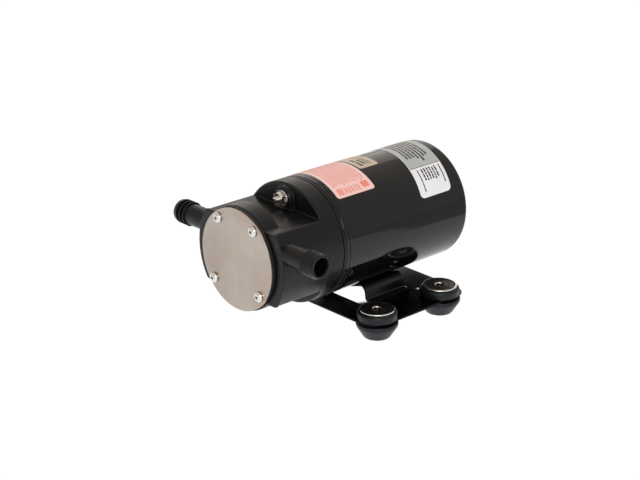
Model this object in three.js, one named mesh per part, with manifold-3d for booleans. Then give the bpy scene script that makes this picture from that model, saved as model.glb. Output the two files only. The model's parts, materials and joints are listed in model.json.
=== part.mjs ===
// A small electric bilge pump: a moulded pump head with two hose barbs and a flexible impeller, bolted to a
// tubular permanent-magnet motor that sits on a pressed-steel base with four rubber feet.
//
// Millimetres, +Z up. The pump and motor share one axis, parallel to Y. Stations along that axis are measured
// from a plane 1 mm behind the front face of the cover plate; the outer group moves the whole assembly so
// that the origin is the middle of its footprint, on the surface that the feet stand on.
import * as THREE from 'three';
import { mergeVertices } from 'three/addons/utils/BufferGeometryUtils.js';
import Module from 'manifold-3d';

const wasm = await Module();
wasm.setup();

// ---- Driving dimensions ----------------------------------------------------------------------------------

const GAP = 0.3; // left between pieces that touch
const AXIS_HEIGHT = 74.7; // motor axis above the surface that the feet stand on
const COARSE = 10; // facets round a small turned piece
const MEDIUM = 18;
const FINE = 36; // facets round a large turned piece

const COVER = { radius: 41.8, front: -1, thickness: 1.6 };
const GASKET = { innerRadius: 31, radius: 41.5, front: 0.9, rear: 2.9 };
const COVER_SCREW = {
  circle: 35.5, // radius of the circle that the four screws lie on
  angles: [36, 131, 229, 324], // degrees from straight up
  head: 4.3, headHeight: 2.7, shank: 2, length: 12,
};

const BODY = {
  front: 3.2, drumRadius: 42.5, drumRear: 18,
  blockRadius: 49.8, blockHalfHeight: 29.7,
  flangeRadius: 50, flangeFront: 51, flangeRear: 67.5, flangeEdge: 1.2,
};
const CHAMBER = { radius: 25.4, rear: 24.9 };
const SEAL_POCKET = { radius: 11.3, rear: 33.5 };
const SHAFT_PASSAGE = 6.6;
const SLINGER_SPACE = { radius: 13, front: 36 };
const DRAIN = { width: 8, front: 38, rear: 46 };
const PORT = {
  y: 12.1, z: 14.5, tip: 83, root: 40, bore: 6.9, boreStart: 18, mouth: 7.9, mouthDepth: 2,
  neck: 8.6, flare: 12, flareLength: 20, rib: 9.9, ribFlat: 0.6, tipRadius: 9.2, ribPitch: 4.5, ribs: 3,
};
const STUD = { height: 38.5, radius: 2.4, hole: 2.8, bossRadius: 9.5, bossFront: 47.6, tip: 38.5 };
const NUT = { acrossFlats: 9.5, front: 41.5, rear: 46 };
const WASHER = { radius: 6.2, rear: 47.3 };

const CAM = { halfSpan: 38, depth: 3.6, edge: 0.4 };
const IMPELLER = { hub: 9.5, front: 1.2, rear: 22.9, vanes: 6, firstVane: 30, bulb: 1.7, lag: 16, blade: 2 };
const BUSH = { radius: 7.2, front: 2.5, rear: 22 };
const DRIVE_PIN = { radius: 1, y: 15, halfLength: 6.4 };
const WEAR_PLATE = { front: 23.4, rear: 24.6, hole: 7.5 };
const SEAL = { front: 25.2, rear: 33.2, lip: 5.3 };
const SLINGER = { radius: 9.5, front: 40, rear: 43 };

const SHAFT = { radius: 4.8, front: 4, rear: 209.6, coreRadius: 6, coreFront: 100, coreRear: 176 };
const BEARING = { radius: 11, bore: 5.1, width: 7 };
const BELL = {
  front: 70, rear: 73.6, spigot: 47.3, spigotBore: 42, spigotRear: 79,
  boss: 14, bossRear: 82, bearingSeat: 74, passage: 6.5,
};
const MOTOR_GASKET = { radius: 48.3, bore: 20, front: 67.8, rear: 69.7 };
const SHELL = {
  radius: 50, wall: 2.4, front: 73.9, rear: 208.7, bottom: 2.3, edge: 3.6,
  pocket: 13.5, pocketRear: 212.7,
};
const MAGNET = { inner: 40, outer: 47.3, front: 101, rear: 169, halfAngle: 62 };
const CORE = { radius: 36, front: 108, rear: 164, slots: 12, slotWidth: 9, slotFloor: 20, slotMouth: 33 };
const WINDING = { inner: 8.5, outer: 33, front: 101.5, rear: 170.5 };
const COMMUTATOR = { radius: 12, front: 85, rear: 100, bars: 12, slit: 0.8, slitDepth: 1.5 };
const BRUSH_PLATE = { radius: 35, bore: 14.6, front: 82.6, rear: 84.4 };
const BRUSH = { front: 87, rear: 97, halfHeight: 3.2, inner: 12.4, outer: 22.5 };
const HOLDER = { front: 84.8, rear: 99, halfHeight: 5, inner: 14.2, outer: 34, wall: 1.4 };
const BRUSH_SPRING = { coil: 2.4, wire: 0.45, turns: 4 };
const BOLT = { head: 4.6, headHeight: 3.6 };
const GROMMET = { z: -25, hole: 6.3, bore: 2.8, lip: 8, lipThickness: 1.8 };

const BASE = {
  halfWidth: 72, front: 78.5, rear: 187.3, top: -59, thickness: 2, corner: 13,
  windowHalfWidth: 32.3, windowFront: 103.6, windowRear: 150, windowCorner: 3,
  smallHole: 1.6,
};
const SMALL_HOLES = [[31, 155], [40.2, 160.6]];
const FOOT = {
  x: 59.8, y: [94, 166.3], bore: 5.3,
  groundRadius: 10.6, groundEdge: 0.8, coneRadius: 16.5, coneBottom: -64.6, coneEdge: 0.8,
  flangeRadius: 16.5, flangeTop: -51.9, flangeEdge: 1.5, waist: 9.2, hole: 9.9,
};
const SLEEVE = { bore: 3.6, radius: 4.9, bottom: -73.2, disc: 14.3, discBottom: -51.6, discTop: -50.4 };
const SADDLE = {
  footInner: 30.7, footOuter: 39.5, thickness: 1.9, shoulder: [31.2, -48.6], brow: 26.5,
  top: -50.35, slope: 17, front: 109.3, rear: 152, // slope: of the cradle's sides, in degrees
};
const SADDLE_SCREW = { y: [121, 141], head: 4.4, headHeight: 2.6, shank: 2.1, length: 7, hole: 2.5 };
const RECESS = { arm: 2.3, width: 0.8, depth: 1.7 }; // the cross recess in each screw head

const LABEL = { inner: 50.3, outer: 50.6, corner: 2.5 };
const LABELS = {
  rating_label: { front: 77, rear: 117.7, from: 50, to: 150 },
  approval_label: { front: 119.8, rear: 140.6, from: 75.5, to: 124 },
  wiring_label: { front: 157.8, rear: 193, from: 26, to: 122, lean: 0.1 }, // lean is in mm to the degree
};

const FRONTMOST = COVER.front - COVER_SCREW.headHeight - GAP;
const REARMOST = SHELL.pocketRear;

// ---- Looks -----------------------------------------------------------------------------------------------

const LOOKS = {
  steel: { color: 0xc9c4bd, roughness: 0.35, metalness: 1 },
  bright: { color: 0xd8d8d6, roughness: 0.2, metalness: 1 },
  moulding: { color: 0x26231f, roughness: 0.35, metalness: 0 },
  enamel: { color: 0x1c1b1a, roughness: 0.2, metalness: 0 },
  rubber: { color: 0x2b2c30, roughness: 0.7, metalness: 0 },
  brass: { color: 0xb08d4a, roughness: 0.35, metalness: 1 },
  copper: { color: 0xb4632f, roughness: 0.35, metalness: 1 },
  carbon: { color: 0x2a2a2a, roughness: 0.6, metalness: 0 },
  ferrite: { color: 0x3a3a3c, roughness: 0.6, metalness: 0.2 },
  fibre: { color: 0x8a6a3c, roughness: 0.7, metalness: 0 },
  paperRed: { color: 0xd98d85, roughness: 0.6, metalness: 0 },
  paperTan: { color: 0xb8a68f, roughness: 0.6, metalness: 0 },
  paperWhite: { color: 0xe8e8e8, roughness: 0.6, metalness: 0 },
};

// ---- Solids ----------------------------------------------------------------------------------------------

function asSolid(geometry) {
  const bare = geometry.clone();
  bare.deleteAttribute('normal');
  bare.deleteAttribute('uv');
  const merged = mergeVertices(bare, 1e-4);
  const corners = merged.index.array;
  const triangles = [];
  for (let i = 0; i < corners.length; i += 3) {
    const [a, b, c] = [corners[i], corners[i + 1], corners[i + 2]];
    if (a !== b && b !== c && c !== a) triangles.push(a, b, c);
  }
  return new wasm.Manifold(new wasm.Mesh({
    numProp: 3,
    vertProperties: new Float32Array(merged.attributes.position.array),
    triVerts: new Uint32Array(triangles),
  }));
}

function asGeometry(solid) {
  const mesh = solid.getMesh();
  const geometry = new THREE.BufferGeometry();
  geometry.setAttribute('position', new THREE.BufferAttribute(mesh.vertProperties, 3));
  geometry.setIndex(new THREE.BufferAttribute(mesh.triVerts, 1));
  geometry.computeVertexNormals();
  return geometry;
}

// A profile of [radius, y] points, counter-clockwise, turned about the Y axis.
function turnedGeometry(profile, facets) {
  const points = profile.map(([radius, y]) => new THREE.Vector2(radius, y));
  points.push(points[0].clone());
  return new THREE.LatheGeometry(points, facets);
}

function turned(profile, facets = FINE) {
  return asSolid(turnedGeometry(profile, facets));
}

function disc(radius, front, rear, facets = FINE) {
  return turned([[0, front], [radius, front], [radius, rear], [0, rear]], facets);
}

function ring(inner, outer, front, rear, facets = FINE) {
  return turned([[inner, front], [outer, front], [outer, rear], [inner, rear]], facets);
}

// A cylinder from one end to the other, off the axis.
function rod(radius, x, z, front, rear, facets = COARSE) {
  const geometry = turnedGeometry([[0, front], [radius, front], [radius, rear], [0, rear]], facets);
  return asSolid(geometry.translate(x, 0, z));
}

function box(x0, x1, y0, y1, z0, z1) {
  const geometry = new THREE.BoxGeometry(x1 - x0, y1 - y0, z1 - z0);
  return asSolid(geometry.translate((x0 + x1) / 2, (y0 + y1) / 2, (z0 + z1) / 2));
}

// An outline in X and Z, extruded along Y.
function alongY(shape, front, rear, curveSegments = 12) {
  const settings = { depth: rear - front, bevelEnabled: false, curveSegments };
  const geometry = new THREE.ExtrudeGeometry(shape, settings);
  return asSolid(geometry.rotateX(Math.PI / 2).translate(0, rear, 0));
}

// An outline in X and Y, extruded upwards.
function alongZ(shape, bottom, top, curveSegments = 5) {
  const settings = { depth: top - bottom, bevelEnabled: false, curveSegments };
  const geometry = new THREE.ExtrudeGeometry(shape, settings);
  return asSolid(geometry.translate(0, 0, bottom));
}

function roundedRectangle(path, x0, x1, y0, y1, r) {
  path.moveTo(x0 + r, y0);
  path.lineTo(x1 - r, y0);
  path.absarc(x1 - r, y0 + r, r, -Math.PI / 2, 0);
  path.lineTo(x1, y1 - r);
  path.absarc(x1 - r, y1 - r, r, 0, Math.PI / 2);
  path.lineTo(x0 + r, y1);
  path.absarc(x0 + r, y1 - r, r, Math.PI / 2, Math.PI);
  path.lineTo(x0, y0 + r);
  path.absarc(x0 + r, y0 + r, r, Math.PI, Math.PI * 1.5);
  return path;
}

// A point in the X-Z plane, by radius and by angle in degrees from straight up, turning towards +X.
function clock(radius, degrees) {
  const angle = THREE.MathUtils.degToRad(degrees);
  return new THREE.Vector2(radius * Math.sin(angle), radius * Math.cos(angle));
}

// ---- Pump head -------------------------------------------------------------------------------------------

const coverScrewPlaces = COVER_SCREW.angles.map((degrees) => clock(COVER_SCREW.circle, degrees));

function drilled(solid, places, radius, front, rear) {
  return places.reduce((left, { x, y: z }) => left.subtract(rod(radius, x, z, front, rear)), solid);
}

const screwHole = COVER_SCREW.shank + GAP;
const studPlaces = [clock(STUD.height, 0), clock(STUD.height, 180)];

function coverPlate() {
  const plate = disc(COVER.radius, COVER.front, COVER.front + COVER.thickness);
  return drilled(plate, coverScrewPlaces, screwHole, COVER.front - 1, COVER.front + COVER.thickness + 1);
}

function coverGasket() {
  const flat = ring(GASKET.innerRadius, GASKET.radius, GASKET.front, GASKET.rear);
  return drilled(flat, coverScrewPlaces, screwHole, GASKET.front - 1, GASKET.rear + 1);
}

// A button-head screw along Y, with the underside of its head at y = 0 and a cross recess in the head.
function buttonScrew({ head, headHeight, shank, length }) {
  const profile = [
    [0, -headHeight], [head * 0.6, -headHeight], [head * 0.88, -headHeight * 0.6],
    [head, 0], [shank, 0], [shank, length], [0, length],
  ];
  const { arm, width } = RECESS;
  const floor = RECESS.depth - headHeight;
  const cross = box(-arm, arm, -headHeight - 1, floor, -width / 2, width / 2)
    .add(box(-width / 2, width / 2, -headHeight - 1, floor, -arm, arm));
  return turned(profile, COARSE).subtract(cross);
}

function hosePort(side) {
  const ribStart = PORT.tip - PORT.ribs * PORT.ribPitch;
  const flareStart = PORT.root - PORT.flareLength * 0.4;
  const flareTurn = PORT.root + PORT.flareLength * 0.4;
  const flareMiddle = PORT.root + PORT.flareLength * 0.6;
  const outline = [[0, flareStart], [PORT.flare, flareStart], [PORT.flare, flareTurn]];
  outline.push([PORT.neck + PORT.ribFlat, flareMiddle], [PORT.neck, PORT.root + PORT.flareLength]);
  outline.push([PORT.neck, ribStart]);
  for (let i = 0; i < PORT.ribs; i += 1) {
    const start = ribStart + i * PORT.ribPitch;
    outline.push([PORT.rib, start], [PORT.rib, start + PORT.ribFlat]);
    outline.push([PORT.tipRadius - PORT.ribFlat, start + PORT.ribPitch]);
  }
  outline.push([0, PORT.tip]);
  const geometry = turnedGeometry(outline, MEDIUM).rotateZ(-Math.PI / 2);
  if (side < 0) geometry.rotateZ(Math.PI);
  return asSolid(geometry.translate(0, PORT.y, PORT.z));
}

function portBore(side) {
  const outline = [
    [0, PORT.boreStart], [PORT.bore, PORT.boreStart], [PORT.bore, PORT.tip - PORT.mouthDepth],
    [PORT.mouth, PORT.tip + 1], [0, PORT.tip + 1],
  ];
  const geometry = turnedGeometry(outline, MEDIUM).rotateZ(-Math.PI / 2);
  if (side < 0) geometry.rotateZ(Math.PI);
  return asSolid(geometry.translate(0, PORT.y, PORT.z));
}

function studBoss(side) {
  const round = rod(STUD.bossRadius, 0, side * STUD.height, STUD.bossFront, BODY.flangeFront + 1, MEDIUM);
  const bottom = BODY.blockHalfHeight - 2;
  const [low, high] = side > 0 ? [bottom, STUD.height] : [-STUD.height, -bottom];
  const web = box(-STUD.bossRadius, STUD.bossRadius, STUD.bossFront, BODY.flangeFront + 1, low, high);
  return round.add(web);
}

function pumpBody() {
  const drum = disc(BODY.drumRadius, BODY.front, BODY.drumRear);
  const round = disc(BODY.blockRadius, BODY.front, BODY.flangeFront + 1);
  const half = BODY.blockHalfHeight;
  const block = round.intersect(box(-60, 60, 0, BODY.flangeFront + 1, -half, half));
  const flange = turned([
    [0, BODY.flangeFront],
    [BODY.flangeRadius - BODY.flangeEdge, BODY.flangeFront],
    [BODY.flangeRadius, BODY.flangeFront + BODY.flangeEdge],
    [BODY.flangeRadius, BODY.flangeRear],
    [0, BODY.flangeRear],
  ]);
  const bosses = studBoss(1).add(studBoss(-1));
  const ports = hosePort(1).add(hosePort(-1)).subtract(box(-90, 90, -20, BODY.front, -60, 60));
  const outside = drum.add(block).add(flange).add(bosses).add(ports);

  const inside = disc(CHAMBER.radius, 0, CHAMBER.rear)
    .add(disc(SEAL_POCKET.radius, CHAMBER.rear - 1, SEAL_POCKET.rear, MEDIUM))
    .add(disc(SHAFT_PASSAGE, SEAL_POCKET.rear - 1, SLINGER_SPACE.front + 1, MEDIUM))
    .add(disc(SLINGER_SPACE.radius, SLINGER_SPACE.front, BODY.flangeRear + 1, MEDIUM))
    .add(portBore(1))
    .add(portBore(-1))
    .add(box(-DRAIN.width / 2, DRAIN.width / 2, DRAIN.front, DRAIN.rear, -half - 1, 0));
  const hollow = outside.subtract(inside);
  const tapped = drilled(hollow, coverScrewPlaces, screwHole, 0, BODY.front + COVER_SCREW.length);
  return drilled(tapped, studPlaces, STUD.hole, STUD.bossFront - 1, BODY.flangeRear + 1);
}

// How far the cam stands in from the chamber wall, at an angle from straight up.
function camThickness(degrees) {
  if (Math.abs(degrees) >= CAM.halfSpan) return 0;
  return CAM.edge + CAM.depth * 0.5 * (1 + Math.cos((Math.PI * degrees) / CAM.halfSpan));
}

function cam() {
  const steps = 10;
  const outerRadius = CHAMBER.radius - GAP;
  const outline = [];
  for (let i = 0; i <= steps; i += 1) {
    outline.push(clock(outerRadius, CAM.halfSpan * ((2 * i) / steps - 1)));
  }
  for (let i = steps; i >= 0; i -= 1) {
    const degrees = CAM.halfSpan * 0.999 * ((2 * i) / steps - 1);
    outline.push(clock(outerRadius - camThickness(degrees), degrees));
  }
  return alongY(new THREE.Shape(outline), GASKET.front, WEAR_PLATE.front - GAP);
}

// One vane, from inside the hub to the bulb that wipes the chamber. A vane under the cam is bent back.
function vane(degrees) {
  const wrapped = ((degrees + 180) % 360) - 180;
  const lag = (IMPELLER.lag * camThickness(wrapped)) / (CAM.depth + CAM.edge);
  const tipAngle = degrees - lag;
  const wall = CHAMBER.radius - camThickness(wrapped) - camThickness(wrapped - lag) * 0.25;
  const tipRadius = wall - IMPELLER.bulb - 2 * GAP;
  const curve = new THREE.QuadraticBezierCurve(
    clock(BUSH.radius + 1.5, degrees),
    clock((BUSH.radius + tipRadius) / 2 + 2, degrees + lag * 0.2),
    clock(tipRadius, tipAngle),
  );
  const steps = 3;
  const left = [];
  const right = [];
  for (let i = 0; i <= steps; i += 1) {
    const middle = curve.getPoint(i / steps);
    const along = curve.getTangent(i / steps);
    const across = new THREE.Vector2(-along.y, along.x).multiplyScalar(IMPELLER.blade / 2);
    left.push(middle.clone().add(across));
    right.unshift(middle.clone().sub(across));
  }
  const blade = alongY(new THREE.Shape([...left, ...right]), IMPELLER.front, IMPELLER.rear);
  const tip = clock(tipRadius, tipAngle);
  return blade.add(rod(IMPELLER.bulb, tip.x, tip.y, IMPELLER.front, IMPELLER.rear, 8));
}

function impeller() {
  let solid = disc(IMPELLER.hub, IMPELLER.front, IMPELLER.rear, MEDIUM);
  for (let i = 0; i < IMPELLER.vanes; i += 1) {
    solid = solid.add(vane(IMPELLER.firstVane + (360 * i) / IMPELLER.vanes));
  }
  return solid.subtract(disc(BUSH.radius + GAP, IMPELLER.front - 1, IMPELLER.rear + 1, MEDIUM));
}

// A cross-hole or a pin across the shaft, along X.
function crossRod(radius, halfLength) {
  const profile = [[0, -halfLength], [radius, -halfLength], [radius, halfLength], [0, halfLength]];
  const geometry = turnedGeometry(profile, 12);
  return asSolid(geometry.rotateZ(-Math.PI / 2).translate(0, DRIVE_PIN.y, 0));
}

const pinHole = crossRod(DRIVE_PIN.radius + GAP, BUSH.radius + 2);

function shaftSeal() {
  return turned([
    [SEAL.lip, SEAL.front], [SEAL_POCKET.radius - GAP, SEAL.front], [SEAL_POCKET.radius - GAP, SEAL.rear],
    [SEAL.lip + 1.5, SEAL.rear], [SEAL.lip + 1.5, SEAL.front + 3],
  ], MEDIUM);
}

// ---- Motor -----------------------------------------------------------------------------------------------

function driveShaft() {
  const shaft = turned([
    [0, SHAFT.front], [SHAFT.radius - 0.6, SHAFT.front], [SHAFT.radius, SHAFT.front + 0.6],
    [SHAFT.radius, SHAFT.coreFront], [SHAFT.coreRadius, SHAFT.coreFront],
    [SHAFT.coreRadius, SHAFT.coreRear], [SHAFT.radius, SHAFT.coreRear],
    [SHAFT.radius, SHAFT.rear - 0.6], [SHAFT.radius - 0.6, SHAFT.rear], [0, SHAFT.rear],
  ], MEDIUM);
  return shaft.subtract(pinHole);
}

function frontEndBell() {
  const bell = turned([
    [BELL.passage, BELL.front], [SHELL.radius, BELL.front], [SHELL.radius, BELL.rear],
    [BELL.spigot, BELL.rear], [BELL.spigot, BELL.spigotRear], [BELL.spigotBore, BELL.spigotRear],
    [BELL.spigotBore, BELL.rear], [BELL.boss, BELL.rear], [BELL.boss, BELL.bossRear],
    [BEARING.radius + GAP, BELL.bossRear], [BEARING.radius + GAP, BELL.bearingSeat],
    [BELL.passage, BELL.bearingSeat],
  ]);
  return drilled(bell, studPlaces, STUD.hole, BELL.front - 1, BELL.rear + 1);
}

function motorGasket() {
  const flat = ring(MOTOR_GASKET.bore, MOTOR_GASKET.radius, MOTOR_GASKET.front, MOTOR_GASKET.rear);
  return drilled(flat, studPlaces, STUD.hole, MOTOR_GASKET.front - 1, MOTOR_GASKET.rear + 1);
}

// Points of a quarter circle in a turned profile, from one angle to another in degrees.
function arc(radius, y, r, from, to, steps) {
  return Array.from({ length: steps + 1 }, (_, i) => {
    const angle = THREE.MathUtils.degToRad(from + ((to - from) * i) / steps);
    return [radius + r * Math.cos(angle), y + r * Math.sin(angle)];
  });
}

function motorShell() {
  const bore = SHELL.radius - SHELL.wall;
  const innerEdge = SHELL.edge - SHELL.wall;
  const floor = SHELL.rear - SHELL.bottom;
  const outside = [
    [SHELL.radius, SHELL.front],
    ...arc(SHELL.radius - SHELL.edge, SHELL.rear - SHELL.edge, SHELL.edge, 0, 90, 3),
    [SHELL.pocket + 1.5, SHELL.rear], [SHELL.pocket, SHELL.pocketRear - 1],
    [SHELL.pocket - 1.5, SHELL.pocketRear], [0, SHELL.pocketRear],
  ];
  const inside = [
    [0, SHELL.pocketRear - SHELL.bottom], [BEARING.radius + GAP, SHELL.pocketRear - SHELL.bottom],
    [BEARING.radius + GAP, floor],
    ...arc(bore - innerEdge, floor - innerEdge, innerEdge, 90, 0, 1),
    [bore, SHELL.front],
  ];
  let shell = turned([...outside, ...inside]);
  shell = drilled(shell, studPlaces, STUD.hole, floor - 1, SHELL.pocketRear + 1);
  shell = shell.subtract(rod(GROMMET.hole, 0, GROMMET.z, floor - 1, SHELL.pocketRear + 1));
  for (const y of SADDLE_SCREW.y) {
    const hole = disc(SADDLE_SCREW.hole, -SHELL.radius - 1, 3 - SHELL.radius, COARSE);
    shell = shell.subtract(upright(hole, 0, y));
  }
  return shell;
}

// Turns a piece made about the Y axis so that it stands along Z instead.
function upright(solid, x, y) {
  const matrix = new THREE.Matrix4().makeRotationX(Math.PI / 2).setPosition(x, y, 0);
  return asSolid(asGeometry(solid).applyMatrix4(matrix));
}

function magnet(side) {
  const half = THREE.MathUtils.degToRad(MAGNET.halfAngle);
  const middle = side > 0 ? 0 : Math.PI;
  const shape = new THREE.Shape();
  shape.absarc(0, 0, MAGNET.outer, middle - half, middle + half);
  shape.absarc(0, 0, MAGNET.inner, middle + half, middle - half, true);
  return alongY(shape, MAGNET.front, MAGNET.rear, 10);
}

// Bars that fill the armature's slots, each slot's width less the given clearance.
function slotBars(clearance, front, rear, outer) {
  let bars = null;
  for (let i = 0; i < CORE.slots; i += 1) {
    const halfWidth = CORE.slotWidth / 2 - clearance;
    const bar = new THREE.BoxGeometry(2 * halfWidth, rear - front, outer - CORE.slotFloor - clearance)
      .translate(0, (front + rear) / 2, (outer + CORE.slotFloor + clearance) / 2)
      .rotateY((2 * Math.PI * i) / CORE.slots);
    bars = bars ? bars.add(asSolid(bar)) : asSolid(bar);
  }
  return bars;
}

function armatureCore() {
  const stack = ring(SHAFT.coreRadius + GAP, CORE.radius, CORE.front, CORE.rear, MEDIUM);
  return stack.subtract(slotBars(0, CORE.front - 1, CORE.rear + 1, CORE.radius + 2));
}

function windings() {
  const fill = slotBars(GAP, WINDING.front + 1, WINDING.rear - 1, CORE.slotMouth);
  const frontTurns = turned([
    [WINDING.inner, WINDING.front + 1.5], [WINDING.inner + 4, WINDING.front],
    [WINDING.outer - 4, WINDING.front], [WINDING.outer, WINDING.front + 2.5],
    [WINDING.outer, CORE.front - GAP], [WINDING.inner, CORE.front - GAP],
  ], MEDIUM);
  const rearTurns = turned([
    [WINDING.inner, CORE.rear + GAP], [WINDING.outer, CORE.rear + GAP], [WINDING.outer, WINDING.rear - 2.5],
    [WINDING.outer - 4, WINDING.rear], [WINDING.inner + 4, WINDING.rear], [WINDING.inner, WINDING.rear - 1.5],
  ], MEDIUM);
  return fill.add(frontTurns).add(rearTurns);
}

function commutator() {
  let barrel = ring(SHAFT.radius + GAP, COMMUTATOR.radius, COMMUTATOR.front, COMMUTATOR.rear - GAP, 24);
  for (let i = 0; i < COMMUTATOR.bars; i += 1) {
    const length = COMMUTATOR.rear - COMMUTATOR.front + 2;
    const slit = new THREE.BoxGeometry(COMMUTATOR.slit, length, 2 * COMMUTATOR.slitDepth)
      .translate(0, COMMUTATOR.front + length / 2 - 1, COMMUTATOR.radius)
      .rotateY((2 * Math.PI * (i + 0.5)) / COMMUTATOR.bars);
    barrel = barrel.subtract(asSolid(slit));
  }
  return barrel;
}

// Pieces on one side of the commutator, mirrored in X by their side.
function sided(side, inner, outer, front, rear, halfHeight) {
  const [x0, x1] = side > 0 ? [inner, outer] : [-outer, -inner];
  return box(x0, x1, front, rear, -halfHeight, halfHeight);
}

function brush(side) {
  return sided(side, BRUSH.inner, BRUSH.outer, BRUSH.front, BRUSH.rear, BRUSH.halfHeight);
}

function brushHolder(side) {
  const block = sided(side, HOLDER.inner, HOLDER.outer, HOLDER.front, HOLDER.rear, HOLDER.halfHeight);
  const slot = sided(side, HOLDER.inner - 1, HOLDER.outer - HOLDER.wall,
    BRUSH.front - GAP, BRUSH.rear + GAP, BRUSH.halfHeight + GAP);
  return block.subtract(slot);
}

function brushSpring(side) {
  const start = BRUSH.outer + GAP + BRUSH_SPRING.wire;
  const end = HOLDER.outer - HOLDER.wall - GAP - BRUSH_SPRING.wire;
  const middle = (BRUSH.front + BRUSH.rear) / 2;
  const steps = BRUSH_SPRING.turns * 6;
  const points = Array.from({ length: steps + 1 }, (_, i) => {
    const angle = (2 * Math.PI * BRUSH_SPRING.turns * i) / steps;
    const x = side * (start + ((end - start) * i) / steps);
    const [y, z] = [Math.cos(angle), Math.sin(angle)].map((part) => BRUSH_SPRING.coil * part);
    return new THREE.Vector3(x, middle + y, z);
  });
  const wire = new THREE.Shape();
  wire.absarc(0, 0, BRUSH_SPRING.wire, 0, 2 * Math.PI);
  const extrudePath = new THREE.CatmullRomCurve3(points);
  return asSolid(new THREE.ExtrudeGeometry(wire, { steps, extrudePath, curveSegments: 3 }));
}

function tieBolt(z) {
  const head = rod(BOLT.head, 0, z, SHELL.rear + GAP, SHELL.rear + GAP + BOLT.headHeight, 6);
  return head.add(rod(STUD.radius, 0, z, STUD.tip, SHELL.rear + GAP + 1));
}

function stackRing(outer, front, rear, z, facets) {
  return rod(outer, 0, z, front, rear, facets).subtract(rod(STUD.hole, 0, z, front - 1, rear + 1));
}

function cableGrommet() {
  const floor = SHELL.rear - SHELL.bottom;
  const neck = GROMMET.hole - GAP;
  const profile = [
    [GROMMET.bore, floor - GAP - GROMMET.lipThickness], [GROMMET.lip, floor - GAP - GROMMET.lipThickness],
    [GROMMET.lip, floor - GAP], [neck, floor - GAP],
    [neck, SHELL.rear + GAP], [GROMMET.lip, SHELL.rear + GAP],
    [GROMMET.lip - 1.2, SHELL.rear + GAP + GROMMET.lipThickness],
    [GROMMET.bore, SHELL.rear + GAP + GROMMET.lipThickness],
  ];
  return asSolid(turnedGeometry(profile, COARSE).translate(0, 0, GROMMET.z));
}

function label({ front, rear, from, to, lean = 0 }) {
  const start = THREE.MathUtils.degToRad(from);
  const end = THREE.MathUtils.degToRad(to);
  const shape = new THREE.Shape();
  shape.absarc(0, 0, LABEL.outer, start, end);
  shape.absarc(0, 0, LABEL.inner, end, start, true);
  const geometry = asGeometry(alongY(shape, front, rear, 12));
  const points = geometry.attributes.position;
  for (let i = 0; i < points.count; i += 1) {
    const degrees = THREE.MathUtils.radToDeg(Math.atan2(points.getZ(i), points.getX(i)));
    points.setY(i, points.getY(i) + lean * (degrees - from));
  }
  return asSolid(geometry);
}

// ---- Base ------------------------------------------------------------------------------------------------

const footPlaces = [];
for (const y of FOOT.y) {
  for (const side of [-1, 1]) footPlaces.push([side * FOOT.x, y]);
}

function basePlate() {
  const outline = roundedRectangle(new THREE.Shape(), -BASE.halfWidth, BASE.halfWidth, BASE.front, BASE.rear,
    BASE.corner);
  outline.holes.push(roundedRectangle(new THREE.Path(), -BASE.windowHalfWidth, BASE.windowHalfWidth,
    BASE.windowFront, BASE.windowRear, BASE.windowCorner));
  for (const [x, y] of footPlaces) {
    outline.holes.push(new THREE.Path().absarc(x, y, FOOT.hole, 0, 2 * Math.PI));
  }
  for (const [x, y] of SMALL_HOLES) {
    for (const side of [-1, 1]) {
      outline.holes.push(new THREE.Path().absarc(side * x, y, BASE.smallHole, 0, 2 * Math.PI));
    }
  }
  return alongZ(outline, BASE.top - BASE.thickness, BASE.top);
}

// A top-hat strip: a flat top under the motor, two sloping webs, and a foot on each side on the plate.
function motorSaddle() {
  const t = SADDLE.thickness;
  const footTop = BASE.top + GAP + t;
  const slope = THREE.MathUtils.degToRad(SADDLE.slope);
  const bend = (radius) => [1, 0.5].map((part) => [
    radius * Math.sin(slope * part), -radius * Math.cos(slope * part),
  ]);
  const [bendEnd, bendHeight] = bend(-SADDLE.top)[0];
  const brow = bendHeight + (SADDLE.brow - bendEnd) * Math.tan(slope);
  const [shoulder, shoulderHeight] = SADDLE.shoulder;
  const over = [
    [SADDLE.footOuter, footTop - t], [SADDLE.footOuter, footTop], [SADDLE.footInner + t, footTop],
    SADDLE.shoulder, [SADDLE.brow, brow], ...bend(-SADDLE.top),
  ];
  const under = [
    [SADDLE.footInner, footTop - t], [shoulder - t, shoulderHeight - 0.5 * t],
    [SADDLE.brow - 0.1 * t, brow - 1.15 * t], ...bend(t - SADDLE.top),
  ];
  const flip = ([x, z]) => [-x, z];
  const points = [
    ...over, [0, SADDLE.top], ...over.map(flip).reverse(),
    ...under.map(flip), [0, SADDLE.top - t], ...under.slice().reverse(),
  ];
  const outline = new THREE.Shape(points.map(([x, z]) => new THREE.Vector2(x, z)));
  let saddle = alongY(outline, SADDLE.front, SADDLE.rear);
  for (const y of SADDLE_SCREW.y) {
    const hole = disc(SADDLE_SCREW.hole, SADDLE.top - t - 1, SADDLE.top + 1, COARSE);
    saddle = saddle.subtract(upright(hole, 0, y));
  }
  return saddle;
}

function saddleScrew(y) {
  const screw = asGeometry(buttonScrew(SADDLE_SCREW)).translate(0, SADDLE.top - SADDLE.thickness - GAP, 0);
  return upright(asSolid(screw), 0, y);
}

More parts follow.
